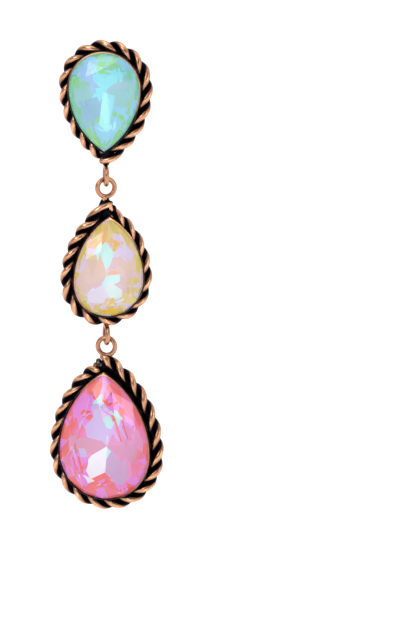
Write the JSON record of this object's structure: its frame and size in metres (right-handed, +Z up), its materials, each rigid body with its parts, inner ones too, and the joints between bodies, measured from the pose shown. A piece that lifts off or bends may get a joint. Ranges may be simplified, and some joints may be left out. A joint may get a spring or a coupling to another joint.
{
  "type": "teardrop earring",
  "caption": "Drop earring of pear-cut crystals in roped copper settings, hung one below the other on wire eyes from an ear post with a butterfly clutch.",
  "frame": {"origin": "on the ear post's axis, at the flat back of the top setting, where the earring is pinned on the ear", "axes": "+Z up, the tiers hang along -Z; +Y back along the ear post; the stones face -Y; +X to the viewer's right"},
  "size_m": [0.0166, 0.0196, 0.0674],
  "materials": {
    "antique_copper": "antiqued copper, dark in the grooves",
    "brushed_copper": "brushed",
    "post_steel": "drawn wire",
    "green_crystal": "faceted, foil behind",
    "peach_crystal": "faceted, foil behind",
    "coral_crystal": "faceted, foil behind"
  },
  "bodies": {
    "top": {"top_setting": "antique_copper", "top_stone": "green_crystal", "ear_post": "post_steel"},
    "clutch": {"ear_clutch": "brushed_copper"},
    "middle": {"mid_setting": "antique_copper", "mid_stone": "peach_crystal"},
    "drop": {"drop_setting": "antique_copper", "drop_stone": "coral_crystal"}
  },
  "joints": [
    {"name": "middle_swing", "type": "hinge", "parent": "top", "child": "middle", "pos_m": [0, -0.0024, -0.01392], "axis": [-0.2588, 0.9659, 0], "range_deg": [-75, 75]},
    {"name": "drop_swing", "type": "hinge", "parent": "middle", "child": "drop", "pos_m": [0, -0.0024, -0.03666], "axis": [-0.3256, 0.9455, 0], "range_deg": [-60, 60]},
    {"name": "clutch_slide", "type": "slide", "parent": "top", "child": "clutch", "axis": [0, 1, 0], "range_m": [-0.0017, 0.0115]}
  ]
}
